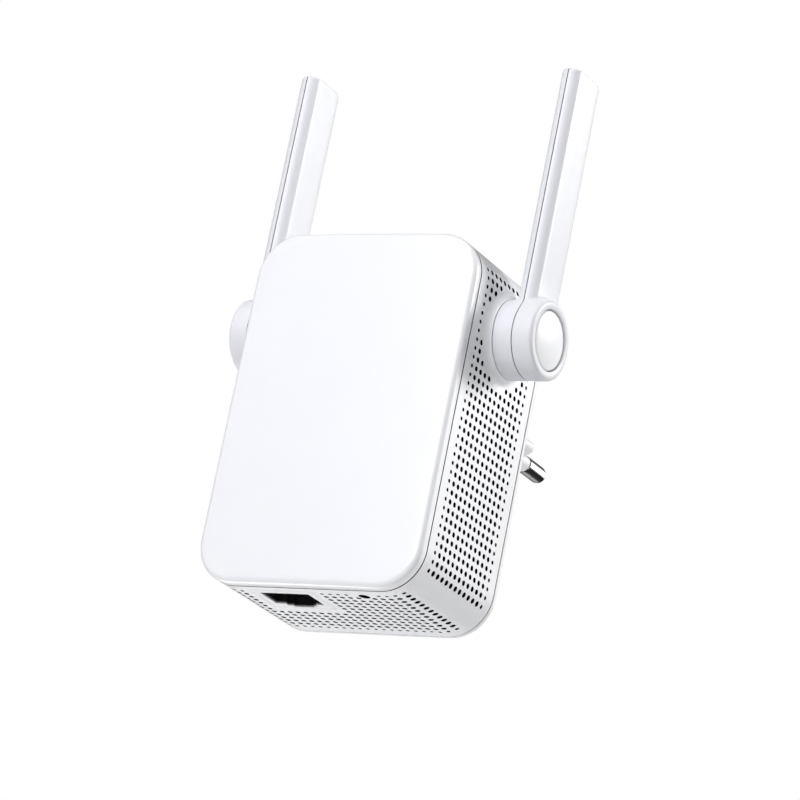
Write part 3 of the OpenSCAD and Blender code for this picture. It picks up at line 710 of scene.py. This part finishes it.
# ---------------------------------------------------------------- carried-over CAD nodes

def finish_cad_nodes():
    """Gives every CAD node its slot's material; the vented housing has a material of its own, with painted
    shade in its vent holes and on its seam faces.
    """
    slots = {s["node"]: s["material_slot"] for s in frame["record"]["subparts"]}
    for name, node in frame["nodes"].items():
        material = VENTED if name == "mid_housing" else MATERIALS[slots[name]]
        node.data.materials.clear()
        node.data.materials.append(material)


# ---------------------------------------------------------------- studio

PANEL_DIRECTION = (0.508, 0.808, 0.30)
PANEL_EDGE = (0.80, 0.93)          # cosines of the angle from its middle, where it fades in
PANEL_LEVEL = 1.8
FLOOR_GLOW = 0.65                  # light added to the floor as the camera sees it
SKY_LEVEL = 0.12
SKY_LEAN = (-0.06, -0.06, -0.06)   # how the sky's level changes along X, Y and Z
FLOOR_Z = -0.42
FRONT_TINT = (0.965, 0.97, 1.0)
BODY_MIDDLE = Vector((0, -0.03, 0))


def area_light(name, place, size, power, tint=(1.0, 1.0, 1.0)):
    """Square soft light, unseen by the camera, that points at the middle of the body."""
    data = bpy.data.lights.new(name, "AREA")
    data.shape = "RECTANGLE"
    data.size, data.size_y = size, size
    data.energy = power
    data.color = tint
    lamp = bpy.data.objects.new(name, data)
    lamp.location = place
    lamp.rotation_euler = (BODY_MIDDLE - Vector(place)).to_track_quat("-Z", "Y").to_euler()
    lamp.visible_camera = False
    bpy.context.scene.collection.objects.link(lamp)


def camera():
    """Camera low on the right, rolled so that the object leans to the right."""
    azimuth, elevation, roll = math.radians(32.15), math.radians(-17.44), math.radians(11.43)
    distance, lens = 0.9395, 193.28     # metres from the target; millimetres
    target = Vector((0.0, -0.03137, -0.00039))
    level = math.cos(elevation)
    back = Vector((math.sin(azimuth) * level, -math.cos(azimuth) * level, math.sin(elevation)))
    data = bpy.data.cameras.new("camera")
    data.lens = lens
    data.sensor_width = 36.0
    data.clip_start, data.clip_end = 0.01, 20.0
    cam = bpy.data.objects.new("camera", data)
    upright = (-back).to_track_quat("-Z", "Y").to_matrix().to_4x4()
    place = Matrix.Translation(target + back * distance)
    cam.matrix_world = place @ upright @ Matrix.Rotation(roll, 4, "Z")
    bpy.context.scene.collection.objects.link(cam)
    bpy.context.scene.camera = cam


def world_light():
    """White to the camera. As light it is a soft sky with a wide bright area at the back right."""
    world = bpy.data.worlds.new("studio")
    world.use_nodes = True
    tree = world.node_tree
    direction = tree.nodes.new("ShaderNodeTexCoord").outputs["Generated"]

    def along(axis):
        dot = tree.nodes.new("ShaderNodeVectorMath")
        dot.operation = "DOT_PRODUCT"
        tree.links.new(direction, dot.inputs[0])
        dot.inputs[1].default_value = axis
        return dot.outputs["Value"]

    def add(a, b):
        node = tree.nodes.new("ShaderNodeMath")
        node.operation = "ADD"
        for socket, value in zip(node.inputs, (a, b)):
            if hasattr(value, "links"):
                tree.links.new(value, socket)
            else:
                socket.default_value = value
        return node.outputs[0]

    panel = tree.nodes.new("ShaderNodeMapRange")
    panel.interpolation_type = "SMOOTHSTEP"
    tree.links.new(along(PANEL_DIRECTION), panel.inputs["Value"])
    for key, value in zip(("From Min", "From Max", "To Min", "To Max"), (*PANEL_EDGE, 0.0, PANEL_LEVEL)):
        panel.inputs[key].default_value = value
    glow = add(add(along(SKY_LEAN), SKY_LEVEL), panel.outputs["Result"])
    path = tree.nodes.new("ShaderNodeLightPath")
    pick = tree.nodes.new("ShaderNodeMix")
    tree.links.new(path.outputs["Is Camera Ray"], pick.inputs["Factor"])
    tree.links.new(glow, pick.inputs["A"])
    pick.inputs["B"].default_value = 1.0
    background = tree.nodes["Background"]
    background.inputs["Color"].default_value = rgb(1.0, 1.0, 1.0)
    tree.links.new(pick.outputs["Result"], background.inputs["Strength"])
    bpy.context.scene.world = world


def floor():
    """Wide pale floor, well below the part."""
    bm = bmesh.new()
    bmesh.ops.create_grid(bm, x_segments=2, y_segments=2, size=6.0)
    mesh = bpy.data.meshes.new("studio_floor")
    bm.to_mesh(mesh)
    bm.free()
    ground = bpy.data.objects.new("studio_floor", mesh)
    ground.location = (0, 0, FLOOR_Z)
    paper = grainy("floor_paper", (0.9, 0.9, 0.9), 0.9, 40.0, 0.02, 0.99, glow=FLOOR_GLOW)
    mesh.materials.append(paper)
    bpy.context.scene.collection.objects.link(ground)


def studio():
    bpy.context.scene.view_settings.view_transform = "Standard"
    world_light()
    floor()
    area_light("key", (0.62, 0.64, 0.46), 0.22, 5.4)
    area_light("front", (-0.05, -0.95, 0.35), 0.45, 7.2, FRONT_TINT)
    area_light("top", (0.16, -0.40, 0.90), 0.4, 3.4)
    area_light("low", (-0.30, 0.20, -0.38), 0.30, 1.4)


front_cover()
rear_cover()
plug_pin("right_plug_pin", 1, "plug_pin_right")
plug_pin("left_plug_pin", -1, "plug_pin_left")
pin_sleeves()
for hand_side in (-1, 1):
    antenna_half(hand_side, True)
    antenna_half(hand_side, False)
    hub_cap(hand_side)
finish_cad_nodes()
camera()
studio()
